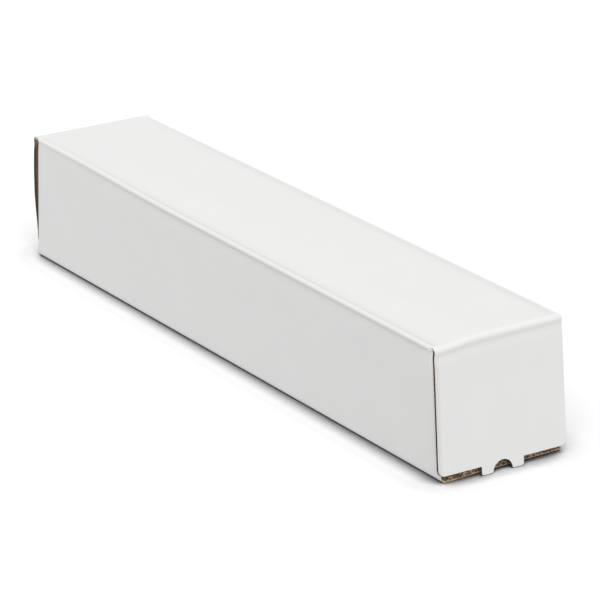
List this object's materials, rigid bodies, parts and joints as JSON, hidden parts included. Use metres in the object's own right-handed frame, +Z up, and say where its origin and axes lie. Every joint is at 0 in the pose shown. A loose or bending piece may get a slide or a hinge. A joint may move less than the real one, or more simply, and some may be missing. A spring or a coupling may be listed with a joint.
{
  "type": "shipping tube",
  "caption": "Long square shipping tube folded from white-lined corrugated board, lying on its side, with a tucked end flap hinged from the top panel at each end.",
  "frame": {"origin": "middle of the footprint of the whole tube with its end flaps closed, on the surface it lies on", "axes": "+X along the tube towards the end that faces the viewer in the picture, +Y away from the long side that the picture shows, +Z up"},
  "size_m": [0.4786, 0.0894, 0.082],
  "materials": {
    "board": "matte"
  },
  "bodies": {
    "tube": {"tube_body": "board"},
    "right_flap": {"end_flap_right": "board"},
    "left_flap": {"end_flap_left": "board"}
  },
  "joints": [
    {"name": "right_flap_fold", "type": "hinge", "parent": "tube", "child": "right_flap", "pos_m": [0.23403, 0, 0.0782], "axis": [0, -1, 0], "range_deg": [0, 135]},
    {"name": "left_flap_fold", "type": "hinge", "parent": "tube", "child": "left_flap", "pos_m": [-0.23617, 0, 0.0782], "axis": [0, 1, 0], "range_deg": [0, 135]}
  ]
}
